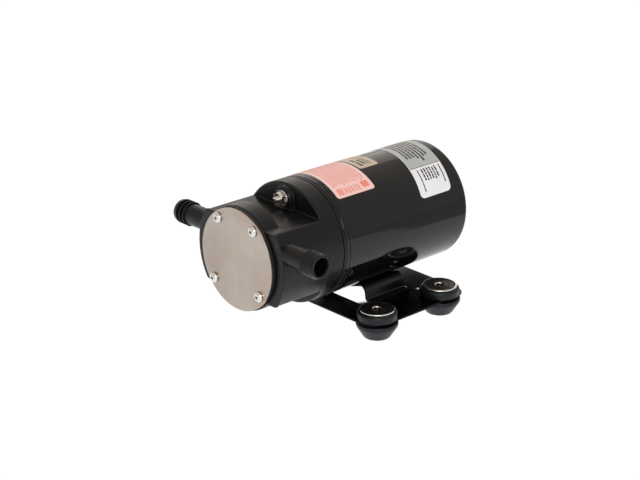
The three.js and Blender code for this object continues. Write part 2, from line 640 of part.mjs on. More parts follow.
function rubberFoot([x, y]) {
  const plateTop = BASE.top + GAP;
  const plateBottom = BASE.top - BASE.thickness - GAP;
  const foot = turned([
    [FOOT.bore, -AXIS_HEIGHT], [FOOT.groundRadius, -AXIS_HEIGHT],
    [FOOT.groundRadius + FOOT.groundEdge, FOOT.groundEdge - AXIS_HEIGHT],
    [FOOT.coneRadius, FOOT.coneBottom], [FOOT.coneRadius, plateBottom - FOOT.coneEdge],
    [FOOT.coneRadius - FOOT.coneEdge, plateBottom], [FOOT.waist, plateBottom], [FOOT.waist, plateTop],
    [FOOT.flangeRadius, plateTop], [FOOT.flangeRadius, FOOT.flangeTop - FOOT.flangeEdge],
    [FOOT.flangeRadius - FOOT.flangeEdge, FOOT.flangeTop], [FOOT.bore, FOOT.flangeTop],
  ], MEDIUM);
  return upright(foot, x, y);
}

function footSleeve([x, y]) {
  const sleeve = turned([
    [SLEEVE.bore, SLEEVE.bottom], [SLEEVE.radius, SLEEVE.bottom], [SLEEVE.radius, SLEEVE.discBottom],
    [SLEEVE.disc, SLEEVE.discBottom], [SLEEVE.disc, SLEEVE.discTop], [SLEEVE.bore, SLEEVE.discTop],
  ], MEDIUM);
  return upright(sleeve, x, y);
}

// ---- Assembly --------------------------------------------------------------------------------------------

const pump = new THREE.Group();
pump.position.set(0, -(FRONTMOST + REARMOST) / 2, AXIS_HEIGHT);

// A turned ring with medium facets, from a record of its sizes.
function plainRing(bore, radius, { front, rear }) {
  return ring(bore, radius, front, rear, MEDIUM);
}

function bearing(front) {
  return plainRing(BEARING.bore, BEARING.radius, { front, rear: front + BEARING.width });
}

function add(name, solid, look) {
  const mesh = new THREE.Mesh(asGeometry(solid), new THREE.MeshStandardMaterial(LOOKS[look]));
  mesh.name = name;
  pump.add(mesh);
  return mesh;
}

add('cover_plate', coverPlate(), 'steel');
add('cover_gasket', coverGasket(), 'rubber');
coverScrewPlaces.forEach((place, i) => {
  const screw = add(`cover_screw_${i + 1}`, buttonScrew(COVER_SCREW), 'bright');
  screw.position.set(place.x, COVER.front - GAP, place.y);
});
add('pump_body', pumpBody(), 'moulding');
add('cam', cam(), 'moulding');
add('impeller', impeller(), 'rubber');
add('impeller_bush', plainRing(SHAFT.radius + GAP, BUSH.radius, BUSH).subtract(pinHole), 'brass');
add('drive_pin', crossRod(DRIVE_PIN.radius, DRIVE_PIN.halfLength), 'bright');
add('wear_plate', plainRing(WEAR_PLATE.hole, CHAMBER.radius - GAP, WEAR_PLATE), 'steel');
add('shaft_seal', shaftSeal(), 'rubber');
add('slinger', plainRing(SHAFT.radius + GAP, SLINGER.radius, SLINGER), 'rubber');
add('drive_shaft', driveShaft(), 'bright');

add('motor_gasket', motorGasket(), 'rubber');
add('front_end_bell', frontEndBell(), 'enamel');
add('motor_shell', motorShell(), 'enamel');
const frontBearing = BELL.bearingSeat + GAP;
const rearBearing = SHELL.pocketRear - SHELL.bottom - GAP - BEARING.width;
add('front_bearing', bearing(frontBearing), 'bright');
add('rear_bearing', bearing(rearBearing), 'bright');
add('magnet_right', magnet(1), 'ferrite');
add('magnet_left', magnet(-1), 'ferrite');
add('armature_core', armatureCore(), 'ferrite');
add('windings', windings(), 'copper');
add('commutator', commutator(), 'copper');
add('brush_plate', plainRing(BRUSH_PLATE.bore, BRUSH_PLATE.radius, BRUSH_PLATE), 'fibre');
for (const [side, hand] of [[1, 'right'], [-1, 'left']]) {
  add(`brush_${hand}`, brush(side), 'carbon');
  add(`brush_holder_${hand}`, brushHolder(side), 'brass');
  add(`brush_spring_${hand}`, brushSpring(side), 'bright');
}
const nutRadius = NUT.acrossFlats / 2 / Math.cos(Math.PI / 6);
for (const [side, place] of [[1, 'top'], [-1, 'bottom']]) {
  const z = side * STUD.height;
  add(`tie_bolt_${place}`, tieBolt(z), 'bright');
  add(`stud_nut_${place}`, stackRing(nutRadius, NUT.front, NUT.rear, z, 6), 'bright');
  add(`stud_washer_${place}`, stackRing(WASHER.radius, NUT.rear + GAP, WASHER.rear, z, COARSE), 'bright');
}
add('cable_grommet', cableGrommet(), 'rubber');
add('rating_label', label(LABELS.rating_label), 'paperRed');
add('approval_label', label(LABELS.approval_label), 'paperTan');
add('wiring_label', label(LABELS.wiring_label), 'paperWhite');

add('base_plate', basePlate(), 'enamel');
add('motor_saddle', motorSaddle(), 'enamel');
SADDLE_SCREW.y.forEach((y, i) => add(`saddle_screw_${i + 1}`, saddleScrew(y), 'bright'));
footPlaces.forEach((place, i) => {
  add(`rubber_foot_${i + 1}`, rubberFoot(place), 'rubber');
  add(`foot_sleeve_${i + 1}`, footSleeve(place), 'steel');
});

const bilgePump = new THREE.Group();
bilgePump.add(pump);

export default bilgePump;
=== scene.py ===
"""The looks of a small electric bilge pump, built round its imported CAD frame.

Shapes are worked out in millimetres in the pump's own axes: x across it, y back along the motor from a
plane 1 mm behind the front face of the cover plate, and z up from the motor's axis. make_mesh() turns
them into metres in the row frame.
"""
import json
import math
import random

import bmesh
import bpy
import numpy as np
from mathutils import Matrix, Vector


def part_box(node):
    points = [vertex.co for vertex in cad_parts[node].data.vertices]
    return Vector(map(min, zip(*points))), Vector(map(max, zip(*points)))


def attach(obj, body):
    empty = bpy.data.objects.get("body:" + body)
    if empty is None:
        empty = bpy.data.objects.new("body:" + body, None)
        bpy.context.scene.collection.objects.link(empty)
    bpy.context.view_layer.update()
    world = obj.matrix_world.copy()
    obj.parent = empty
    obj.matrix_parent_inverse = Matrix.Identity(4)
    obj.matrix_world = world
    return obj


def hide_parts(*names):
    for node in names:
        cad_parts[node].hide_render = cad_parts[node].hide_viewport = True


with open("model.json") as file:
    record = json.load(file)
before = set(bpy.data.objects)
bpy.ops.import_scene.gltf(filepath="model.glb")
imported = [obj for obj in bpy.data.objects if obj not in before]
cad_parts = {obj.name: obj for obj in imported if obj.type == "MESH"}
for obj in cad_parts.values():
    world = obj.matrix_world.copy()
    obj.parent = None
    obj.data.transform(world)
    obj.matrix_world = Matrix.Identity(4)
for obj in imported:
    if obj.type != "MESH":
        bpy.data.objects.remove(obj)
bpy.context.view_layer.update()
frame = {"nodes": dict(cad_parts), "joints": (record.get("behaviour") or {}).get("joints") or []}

MM = 0.001
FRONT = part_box("cover_plate")[0].y + 1.0 * MM
AXIS = frame["joints"][0]["pos_m"][2]
ORIGIN = Vector((0.0, FRONT, AXIS))


def span(node):
    """A CAD node's lowest and highest corner, in millimetres in the pump's axes."""
    low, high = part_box(node)
    return (low - ORIGIN) / MM, (high - ORIGIN) / MM


# ---- Driving sizes, read from the frame -------------------------------------------------------------------

MOTOR_R = span("motor_shell")[1].x
PLATE_R = span("cover_plate")[1].x
BODY_FRONT = span("cover_gasket")[1].y + 0.3
BODY_REAR = span("pump_body")[1].y
PORT_TIP = span("pump_body")[1].x
GROUND = span("rubber_foot_1")[0].z
STUD_Z = (span("tie_bolt_top")[0].z + span("tie_bolt_top")[1].z) / 2

PORT = {"y": 12.1, "z": 14.5, "bore": 6.9, "neck": 8.75, "rib": 10.1, "pitch": 4.5, "ribs": 3}
HEAD_DROP = 0.6  # the drum and its cover stand this much below the motor's axis
DRUM_R = 42.5
DRUM_REAR = 18.0
BLOCK_R = 49.8
BLOCK_HALF = 29.7
LIP_R = 50.8
LIP_REAR = 5.6
FLANGE_FRONT = 51.0
BOSS_R = 9.5
BOSS_FRONT = 47.6

SADDLE_FOOT = 32.6
SADDLE_SHOULDER = (31.2, -48.6)
SADDLE_BROW = 26.5
SADDLE_THICK = 1.9
SADDLE_SLOPE = math.radians(17)
WINDOW = (32.3, 103.6, 150.0)
SMALL_HOLES = ((31, 155), (40.2, 160.6))

SMOOTH_ANGLE = math.radians(32)


# ---- Mesh helpers -----------------------------------------------------------------------------------------

def make_mesh(name, vertices, faces, sharp=SMOOTH_ANGLE):
    """A shaded object from vertices in millimetres; edges that turn by more than `sharp` stay crisp."""
    mesh = bpy.data.meshes.new(name)
    mesh.from_pydata([tuple(ORIGIN + Vector(v) * MM) for v in vertices], [], faces)
    work = bmesh.new()
    work.from_mesh(mesh)
    bmesh.ops.remove_doubles(work, verts=work.verts, dist=1e-7)
    bmesh.ops.recalc_face_normals(work, faces=work.faces)
    for face in work.faces:
        face.smooth = True
    for edge in work.edges:
        edge.smooth = edge.calc_face_angle(0.0) < sharp
    work.to_mesh(mesh)
    work.free()
    obj = bpy.data.objects.new(name, mesh)
    bpy.context.scene.collection.objects.link(obj)
    return obj


def rounded(points, radius, steps=4):
    """A closed outline with each corner taken off by `radius`, or by the corner's own third number."""
    outline = []
    count = len(points)
    for i, point in enumerate(points):
        here = np.array(point[:2], float)
        cut = point[2] if len(point) > 2 else radius
        before = np.array(points[i - 1][:2], float) - here
        after = np.array(points[(i + 1) % count][:2], float) - here
        size = min(cut, 0.48 * np.linalg.norm(before), 0.48 * np.linalg.norm(after))
        if size < 1e-4:
            outline.append(tuple(here))
            continue
        start = here + before / np.linalg.norm(before) * size
        end = here + after / np.linalg.norm(after) * size
        for k in range(steps + 1):
            t = k / steps
            outline.append(tuple((1 - t) ** 2 * start + 2 * t * (1 - t) * here + t ** 2 * end))
    return outline


def along(axis, radial_a, radial_b, length):
    """A point at `length` along an axis, and at the given offsets across it."""
    if axis == "X":
        return (length, radial_a, radial_b)
    if axis == "Y":
        return (radial_a, length, radial_b)
    return (radial_a, radial_b, length)


def lathe(outline, axis="Y", centre=(0, 0, 0), segments=96, flip=1):
    """Vertices and faces of a closed outline of (radius, length) points turned about an axis."""
    vertices = []
    for i in range(segments):
        angle = 2 * math.pi * i / segments
        for radius, length in outline:
            point = along(axis, radius * math.cos(angle), radius * math.sin(angle), flip * length)
            vertices.append(tuple(np.add(point, centre)))
    count = len(outline)
    faces = []
    for i in range(segments):
        a, b = i * count, ((i + 1) % segments) * count
        for j in range(count):
            k = (j + 1) % count
            if outline[j][0] > 1e-6 or outline[k][0] > 1e-6:
                faces.append((a + j, a + k, b + k, b + j))
    return vertices, faces


def prism(outline, low, high, axis="Z", centre=(0, 0, 0)):
    """A flat closed outline pushed along an axis."""
    count = len(outline)
    vertices = []
    for length in (low, high):
        vertices += [tuple(np.add(along(axis, a, b, length), centre)) for a, b in outline]
    faces = [tuple(range(count)), tuple(range(2 * count - 1, count - 1, -1))]
    faces += [(i, (i + 1) % count, count + (i + 1) % count, count + i) for i in range(count)]
    return vertices, faces


def joined(*parts):
    vertices, faces = [], []
    for part_vertices, part_faces in parts:
        start = len(vertices)
        vertices += part_vertices
        faces += [tuple(start + i for i in face) for face in part_faces]
    return vertices, faces


def circle(radius, count, centre=(0, 0)):
    angles = [2 * math.pi * i / count for i in range(count)]
    return [(centre[0] + radius * math.cos(a), centre[1] + radius * math.sin(a)) for a in angles]


def cut(obj, *tools):
    """Takes closed tool shapes out of a piece."""
    for vertices, faces in tools:
        tool = make_mesh("cutter", vertices, faces)
        modifier = obj.modifiers.new("cut", "BOOLEAN")
        modifier.object = tool
        modifier.operation = "DIFFERENCE"
        modifier.solver = "EXACT"
        apply_modifiers(obj)
        bpy.data.objects.remove(tool)
    return obj


def apply_modifiers(obj):
    depsgraph = bpy.context.evaluated_depsgraph_get()
    mesh = bpy.data.meshes.new_from_object(obj.evaluated_get(depsgraph), depsgraph=depsgraph)
    old = obj.data
    obj.modifiers.clear()
    obj.data = mesh
    bpy.data.meshes.remove(old)


def soften(obj, width, segments=2, angle=35):
    """Rounds a piece's crisp edges by `width` millimetres."""
    modifier = obj.modifiers.new("soften", "BEVEL")
    modifier.width = width * MM
    modifier.segments = segments
    modifier.limit_method = "ANGLE"
    modifier.angle_limit = math.radians(angle)
    modifier.harden_normals = True
    apply_modifiers(obj)
    return obj


def shade(obj):
    """Marks a piece's crisp edges and evens its normals towards its larger faces."""
    work = bmesh.new()
    work.from_mesh(obj.data)
    for face in work.faces:
        face.smooth = True
    for edge in work.edges:
        edge.smooth = edge.calc_face_angle(0.0) < SMOOTH_ANGLE
    work.to_mesh(obj.data)
    work.free()
    modifier = obj.modifiers.new("shade", "WEIGHTED_NORMAL")
    modifier.keep_sharp = True
    apply_modifiers(obj)


def dress(obj, material, nodes=(), body="housing"):
    """Gives a piece its material and body, and hides the CAD nodes that it stands for."""
    if not obj.data.has_custom_normals:
        shade(obj)
    obj.data.materials.clear()
    for item in material if isinstance(material, (list, tuple)) else [material]:
        obj.data.materials.append(item)
    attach(obj, body)
    if nodes:
        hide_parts(*nodes)
    return obj


# ---- Materials --------------------------------------------------------------------------------------------

class Look:
    """A material whose Principled shader is fed by noise in the object's own space."""

    def __init__(self, name, colour, roughness, metallic=0.0, **sockets):
        self.material = bpy.data.materials.new(name)
        self.material.use_nodes = True
        self.tree = self.material.node_tree
        self.shader = next(n for n in self.tree.nodes if n.type == "BSDF_PRINCIPLED")
        self.shader.inputs["Metallic"].default_value = metallic
        self.shader.inputs["Roughness"].default_value = roughness
        self.shader.inputs["Base Color"].default_value = (*colour, 1)
        for key, value in sockets.items():
            self.shader.inputs[key.replace("_", " ")].default_value = value
        self.colour = colour
        self.place = self.node("ShaderNodeTexCoord").outputs["Object"]

    def node(self, kind, **settings):
        made = self.tree.nodes.new(kind)
        for key, value in settings.items():
            setattr(made, key, value)
        return made

    def link(self, source, target):
        self.tree.links.new(source, target)

    def noise(self, per_mm, detail=4.0, stretch=(1, 1, 1), roughness=0.55):
        """Noise with about this many lumps to the millimetre, drawn out along an axis by `stretch`."""
        mapping = self.node("ShaderNodeMapping")
        mapping.inputs["Scale"].default_value = tuple(per_mm / MM / s for s in stretch)
        texture = self.node("ShaderNodeTexNoise")
        texture.inputs["Scale"].default_value = 1.0
        texture.inputs["Detail"].default_value = detail
        texture.inputs["Roughness"].default_value = roughness
        self.link(self.place, mapping.inputs["Vector"])
        self.link(mapping.outputs["Vector"], texture.inputs["Vector"])
        return texture.outputs["Fac"]

    def across(self, axis, low, high):
        """Nought to one as the object's own axis goes from low to high, in metres."""
        split = self.node("ShaderNodeSeparateXYZ")
        self.link(self.place, split.inputs["Vector"])
        return self.remap(split.outputs[axis], 0.0, 1.0, low, high)

    def remap(self, source, low, high, from_low=0.3, from_high=0.7):
        ranged = self.node("ShaderNodeMapRange")
        ranged.inputs["From Min"].default_value = from_low
        ranged.inputs["From Max"].default_value = from_high
        ranged.inputs["To Min"].default_value = low
        ranged.inputs["To Max"].default_value = high
        self.link(source, ranged.inputs["Value"])
        return ranged.outputs["Result"]

    def tint(self, source, other, amount=1.0, low=0.35, high=0.7):
        """Blends the base colour towards another where the source is high."""
        mix = self.node("ShaderNodeMix", data_type="RGBA")
        factor = self.remap(source, 0.0, amount, low, high)
        self.link(factor, mix.inputs["Factor"])
        socket = self.shader.inputs["Base Color"]
        if socket.is_linked:
            self.link(socket.links[0].from_socket, mix.inputs["A"])
        else:
            mix.inputs["A"].default_value = (*self.colour, 1)
        mix.inputs["B"].default_value = (*other, 1)
        self.link(mix.outputs["Result"], socket)
        return self

    def vary_roughness(self, source, low, high):
        self.link(self.remap(source, low, high), self.shader.inputs["Roughness"])
        return self

    def bump(self, source, depth_mm, strength=1.0):
        bump = self.node("ShaderNodeBump")
        bump.inputs["Strength"].default_value = strength
        bump.inputs["Distance"].default_value = depth_mm * MM
        self.link(source, bump.inputs["Height"])
        socket = self.shader.inputs["Normal"]
        if socket.is_linked:
            self.link(socket.links[0].from_socket, bump.inputs["Normal"])
        self.link(bump.outputs["Normal"], socket)
        return self


COOL = (0.84, 0.92, 1.0, 1.0)  # the tint of the gloss on paint, plastic and rubber


def moulded_plastic():
    look = Look("moulded_plastic", (0.0012, 0.0012, 0.0015), 0.25, Specular_IOR_Level=0.31)
    look.shader.inputs["Specular Tint"].default_value = COOL
    look.tint(look.noise(0.05, 3), (0.004, 0.0036, 0.0032), 0.6)
    look.vary_roughness(look.noise(0.12, 5), 0.28, 0.42)
    look.bump(look.noise(1.6, 2), 0.006)
    look.bump(look.noise(0.09, 2), 0.1, 0.3)
    return look.material


def gloss_enamel(name, colour, low, high, peel=0.03, gloss=0.4):
    look = Look(name, colour, (low + high) / 2, Specular_IOR_Level=gloss)
    look.shader.inputs["Specular Tint"].default_value = COOL
    brighter = tuple(c * 1.8 for c in colour)
    look.tint(look.noise(0.04, 3), brighter, 0.5)
    look.vary_roughness(look.noise(0.1, 5), low, high)
    look.bump(look.noise(0.35, 2), peel, 0.5)
    return look.material


def satin_steel(name, colour, low, high, grain=(1, 1, 1), dark=0.75):
    look = Look(name, colour, (low + high) / 2, 1.0)
    look.tint(look.noise(0.06, 4), tuple(c * dark for c in colour), 0.35)
    fine = look.noise(2.2, 3, grain)
    look.tint(fine, tuple(c * 0.86 for c in colour), 0.35)
    look.vary_roughness(look.noise(0.3, 4, grain), low, high)
    look.bump(fine, 0.006)
    return look.material


def cover_steel():
    """Rolled stainless sheet with a faint upright grain and cloudy patches.

    Its colour is also made darker towards the top and the left, which stands for uneven light.
    """
    look = Look("cover_steel", (0.66, 0.58, 0.53), 0.36, 1.0)
    look.tint(look.across(2, -0.035, 0.035), (0.45, 0.36, 0.31), 1.0, 0.0, 1.0)
    look.tint(look.across(0, 0.0, -0.04), (0.34, 0.285, 0.25), 0.7, 0.0, 1.0)
    look.tint(look.noise(0.022, 3), (0.43, 0.36, 0.315), 0.5)
    look.tint(look.noise(0.035, 2), (0.55, 0.535, 0.47), 0.5)
    grain = look.noise(2.2, 3, (1, 1, 14))
    look.tint(grain, (0.47, 0.43, 0.385), 0.3)
    look.vary_roughness(look.noise(0.3, 4, (1, 1, 14)), 0.3, 0.42)
    look.bump(grain, 0.006)
    return look.material


def worn_rubber(name, colour, low, high):
    look = Look(name, colour, (low + high) / 2, Specular_IOR_Level=0.35)
    look.shader.inputs["Specular Tint"].default_value = COOL
    look.tint(look.noise(0.08, 4), tuple(c * 1.7 for c in colour), 0.5)
    look.tint(look.noise(0.9, 3), tuple(c * 0.55 for c in colour), 0.4)
    look.vary_roughness(look.noise(0.25, 4), low, high)
    look.bump(look.noise(1.8, 3), 0.02)
    return look.material


def printed_film(name, colour, other, amount=0.4):
    look = Look(name, colour, 0.38)
    look.tint(look.noise(0.05, 3), other, amount)
    look.tint(look.noise(1.2, 2), tuple(c * 0.93 for c in colour), 0.4)
    look.vary_roughness(look.noise(0.2, 3), 0.3, 0.45)
    look.bump(look.noise(0.5, 2), 0.01)
    return look.material


def ink(name, colour):
    look = Look(name, colour, 0.45)
    look.tint(look.noise(2.5, 3), tuple(min(1, c * 1.8 + 0.04) for c in colour), 0.5)
    look.vary_roughness(look.noise(0.6, 3), 0.35, 0.55)
    look.bump(look.noise(2.0, 2), 0.004)
    return look.material


PLASTIC = moulded_plastic()
MOTOR_PAINT = gloss_enamel("motor_enamel", (0.003, 0.0028, 0.0026), 0.05, 0.11, 0.02)
BASE_PAINT = gloss_enamel("base_enamel", (0.0004, 0.0004, 0.0008), 0.2, 0.3, 0.02, 0.1)
SADDLE_PAINT = gloss_enamel("saddle_enamel", (0.0008, 0.0008, 0.0012), 0.24, 0.34, 0.02, 0.36)
PLATE_STEEL = cover_steel()
BRIGHT_STEEL = satin_steel("bright_steel", (0.80, 0.79, 0.77), 0.1, 0.2)
# Dark steel for the faces inside the screws' cross recesses: painted shade in the recess.
PAINTED_RECESS_SHADE = satin_steel("painted_recess_shade", (0.045, 0.045, 0.045), 0.35, 0.5)
DARK_STEEL = satin_steel("dark_steel", (0.10, 0.095, 0.09), 0.3, 0.45)
SEAL_RUBBER = worn_rubber("seal_rubber", (0.012, 0.012, 0.012), 0.5, 0.7)
FLANGE_SEAL = worn_rubber("flange_seal", (0.004, 0.004, 0.004), 0.25, 0.35)
FOOT_RUBBER = worn_rubber("foot_rubber", (0.004, 0.0046, 0.0062), 0.34, 0.48)
BRASS = satin_steel("brass", (0.62, 0.45, 0.19), 0.25, 0.4)
COPPER = satin_steel("copper", (0.66, 0.30, 0.16), 0.25, 0.4)
CARBON = worn_rubber("carbon", (0.03, 0.03, 0.03), 0.5, 0.7)
FERRITE = worn_rubber("ferrite", (0.07, 0.07, 0.075), 0.5, 0.7)
IRON = satin_steel("lamination_iron", (0.28, 0.28, 0.29), 0.35, 0.5, (1, 0.3, 1))
BOARD = worn_rubber("fibre_board", (0.30, 0.17, 0.07), 0.5, 0.7)
PINK_FILM = printed_film("pink_film", (0.86, 0.62, 0.62), (0.84, 0.53, 0.52), 0.7)
TAN_FILM = printed_film("tan_film", (0.52, 0.43, 0.34), (0.60, 0.52, 0.43))
WHITE_FILM = printed_film("white_film", (0.78, 0.83, 0.90), (0.73, 0.78, 0.85))
GREY_FILM = printed_film("grey_film", (0.42, 0.47, 0.50), (0.36, 0.41, 0.44))
PINK_INK = ink("pink_ink", (0.72, 0.27, 0.24))
RED_INK = ink("red_ink", (0.74, 0.20, 0.15))
DARK_INK = ink("dark_ink", (0.012, 0.012, 0.018))


# ---- Pump body, a moulding with rounded edges and filleted corners ----------------------------------------

def blend_min(a, b, width):
    share = np.clip(0.5 + 0.5 * (b - a) / width, 0, 1)
    return b * (1 - share) + a * share - width * share * (1 - share)


def blend_max(a, b, width):
    return -blend_min(-a, -b, width)


def slab(value, low, high):
    return np.abs(value - (low + high) / 2) - (high - low) / 2


def body_distance(x, y, z):
    """How far a point in millimetres lies outside the moulding, negative inside it."""
    r = np.hypot(x, z)
    drum = blend_max(np.hypot(x, z + HEAD_DROP) - DRUM_R, slab(y, BODY_FRONT, DRUM_REAR), 1.0)
    block = blend_max(blend_max(r - BLOCK_R, np.abs(z) - BLOCK_HALF, 1.6), slab(y, BODY_FRONT, 55), 1.2)
    flange = blend_max(r - MOTOR_R, slab(y, FLANGE_FRONT, BODY_REAR), 2.0)
    solid = blend_min(blend_min(drum, block, 0.3), flange, 0.9)
    height = np.abs(z)
    knob = blend_max(np.hypot(x, height - STUD_Z) - BOSS_R, slab(y, BOSS_FRONT, 55), 1.0)
    web = np.maximum(np.abs(x) - BOSS_R, slab(height, BLOCK_HALF - 3, STUD_Z))
    web = blend_max(web, slab(y, BOSS_FRONT, 55), 1.0)
    solid = blend_min(solid, blend_min(knob, web, 0.4), 1.4)
    solid = blend_max(solid, r - MOTOR_R, 0.3)
    lip = blend_max(blend_max(r - LIP_R, np.abs(z) - BLOCK_HALF, 1.6), slab(y, BODY_FRONT, LIP_REAR), 0.6)
    solid = blend_min(solid, lip, 0.25)

    side = np.abs(x)
    round_port = np.hypot(y - PORT["y"], z - PORT["z"])
    neck = blend_max(round_port - PORT["neck"] + 0.06, slab(side, 30, 62), 0.3)
    solid = blend_min(solid, neck, 0.5)

    seal = np.maximum(r - 11.3, slab(y, 20, 33.5))
    rear = np.maximum(r - 13, slab(y, 36, BODY_REAR + 5))
    hollow = np.minimum(np.maximum(r - 25.4, slab(y, -5, 24.9)), np.minimum(seal, rear))
    hollow = np.minimum(hollow, np.maximum(r - 6.6, slab(y, 30, 40)))
    drain = np.maximum(np.maximum(np.abs(x) - 4, slab(y, 38, 46)), slab(z, -60, 0))
    hollow = np.minimum(hollow, drain)
    hollow = np.minimum(hollow, np.maximum(round_port - PORT["bore"], slab(side, 18, 70)))
    stud = np.maximum(np.hypot(x, height - STUD_Z) - 2.8, slab(y, 40, BODY_REAR + 5))
    return blend_max(solid, -np.minimum(hollow, stud), 0.5)


# The twelve edges of a grid cell, each as its two corners.
CELL_CORNERS = [(i, j, k) for i in (0, 1) for j in (0, 1) for k in (0, 1)]
CELL_EDGES = [
    (a, b) for a in CELL_CORNERS for b in CELL_CORNERS
    if a < b and sum(abs(p - q) for p, q in zip(a, b)) == 1
]


def surface_of(distance, xs, ys, zs):
    """Vertices and quads of a distance function's zero surface, by surface nets on an uneven grid."""
    grid = np.meshgrid(xs, ys, zs, indexing="ij")
    values = distance(*grid)
    shape = np.array(values.shape) - 1
    total = np.zeros((*shape, 3))
    count = np.zeros(shape)
    points = np.stack(grid, -1)

    def corner(array, c):
        return array[c[0]:c[0] + shape[0], c[1]:c[1] + shape[1], c[2]:c[2] + shape[2]]

    for a, b in CELL_EDGES:
        va, vb = corner(values, a), corner(values, b)
        crossing = (va < 0) != (vb < 0)
        part = np.where(crossing, va / np.where(va == vb, 1, va - vb), 0)[..., None]
        total += np.where(crossing[..., None], corner(points, a) * (1 - part) + corner(points, b) * part, 0)
        count += crossing
    used = count > 0
    number = -np.ones(shape, int)
    number[used] = np.arange(used.sum())
    vertices = total[used] / count[used][:, None]

    quads = []
    for axis in range(3):
        ahead = [slice(1, -1)] * 3
        ahead[axis] = slice(0, -1)
        after = list(ahead)
        after[axis] = slice(1, None)
        here, there = values[tuple(ahead)] < 0, values[tuple(after)] < 0
        u, v = [(1, 2), (2, 0), (0, 1)][axis]
        index = np.argwhere(here != there)
        outward = here[tuple(index.T)]
        index = index + np.array([0 if i == axis else 1 for i in range(3)])
        ring = []
        for du, dv in ((0, 0), (1, 0), (1, 1), (0, 1)):
            cell = index.copy()
            cell[:, u] -= du
            cell[:, v] -= dv
            ring.append(number[tuple(cell.T)])
        ring = np.stack(ring, 1)
        ring[~outward] = ring[~outward][:, ::-1]
        quads.append(ring)
    return vertices, np.concatenate(quads)


def settle(distance, vertices, rounds=5, step=0.02):
    """Moves vertices onto the zero surface and returns them with the surface's own normals."""
    for _ in range(rounds):
        value = distance(*vertices.T)
        slope = np.stack([
            (distance(*(vertices + offset).T) - distance(*(vertices - offset).T)) / (2 * step)
            for offset in np.eye(3) * step
        ], 1)
        length = np.maximum((slope ** 2).sum(1), 0.2)
        move = slope * (value / length)[:, None]
        size = np.maximum(np.linalg.norm(move, axis=1), 1e-9)
        vertices = vertices - move * np.minimum(1, 0.4 / size)[:, None]
    normals = slope / np.maximum(np.linalg.norm(slope, axis=1), 1e-9)[:, None]
    return vertices, normals


def pump_body():
    step = 0.85
    xs = np.arange(-64, 64.1, step)
    zs = np.arange(-51.5, 51.6, step)
    ys = np.concatenate([np.arange(BODY_FRONT - 1.3, 7, 0.45), np.arange(7.2, BODY_REAR + 1.5, step)])
    vertices, quads = surface_of(body_distance, xs, ys, zs)
    vertices, normals = settle(body_distance, vertices)
    mesh = bpy.data.meshes.new("body_moulding")
    mesh.from_pydata([tuple(ORIGIN + Vector(v) * MM) for v in vertices], [], quads.tolist())
    mesh.polygons.foreach_set("use_smooth", np.ones(len(mesh.polygons), bool))
    mesh.normals_split_custom_set_from_vertices(normals.tolist())
    obj = bpy.data.objects.new("body_moulding", mesh)
    bpy.context.scene.collection.objects.link(obj)
    return dress(obj, PLASTIC, ["pump_body"])


def hose_barb(side):
    """The barbed tube that carries on from the neck of a port."""
    start, tip = 59.0, PORT_TIP
    outline = [(PORT["bore"], start - 4, 0), (PORT["neck"], start - 4, 0)]
    first = tip - PORT["ribs"] * PORT["pitch"]
    outline.append((PORT["neck"], first, 0.3))
    for i in range(PORT["ribs"]):
        back = first + i * PORT["pitch"]
        last = i == PORT["ribs"] - 1
        outline.append((PORT["rib"], back + 0.05, 0.15))
        outline.append((PORT["rib"], back + 0.8, 0.5))
        reach = PORT["pitch"] - (0 if last else 0.9)
        outline.append((PORT["neck"] + (0.4 if last else -0.15), back + reach, 0.5))
        if not last:
            outline.append((PORT["neck"] - 0.25, back + PORT["pitch"] - 0.05, 0.15))
    outline.append((PORT["bore"] + 0.6, tip, 0.4))
    outline.append((PORT["bore"], tip - 1.6, 0.4))
    shape = lathe(rounded(outline, 0.3), "X", (0, PORT["y"], PORT["z"]), 72, side)
    name = "hose_barb_right" if side > 0 else "hose_barb_left"
    return dress(make_mesh(name, *shape), PLASTIC, ["pump_body"])


# ---- Cover, screws, nuts and bolts ------------------------------------------------------------------------

def screw_places():
    for i in range(1, 5):
        low, high = span(f"cover_screw_{i}")
        yield i, (low.x + high.x) / 2, (low.z + high.z) / 2


def cover_plate():
    low, high = span("cover_plate")
    rim = PLATE_R - 0.3
    outline = rounded([(0, low.y, 0), (rim, low.y), (rim, high.y), (0, high.y, 0)], 0.35, 3)
    plate = make_mesh("cover_plate_disc", *lathe(outline, centre=(0, 0, -HEAD_DROP), segments=160))
    holes = [prism(circle(2.3, 32), low.y - 1, high.y + 1, "Y", (x, 0, z)) for _, x, z in screw_places()]
    cut(plate, joined(*holes))
    return dress(plate, PLATE_STEEL, ["cover_plate"])


def cover_gasket():
    low, high = span("cover_gasket")
    outline = rounded([(31, low.y), (high.x, low.y), (high.x, high.y), (31, high.y)], 0.15, 2)
    gasket = make_mesh("cover_gasket_ring", *lathe(outline, segments=128))
    holes = [prism(circle(2.3, 24), 0, 5, "Y", (x, 0, z)) for _, x, z in screw_places()]
    cut(gasket, joined(*holes))
    return dress(gasket, SEAL_RUBBER, ["cover_gasket"])


def pan_head(radius, height, shank, length):
    """Outline of a domed screw head with its shank, the head's underside at 0."""
    dome = [
        (radius * math.sin(a), -height + radius * 0.42 * (1 - math.cos(a))) for a in np.linspace(0, 1.1, 8)
    ]
    rim = [(radius * 0.985, -height * 0.42), (radius, -height * 0.2), (radius * 0.97, 0)]
    return dome + rim + [(shank, 0), (shank, length), (0, length)]


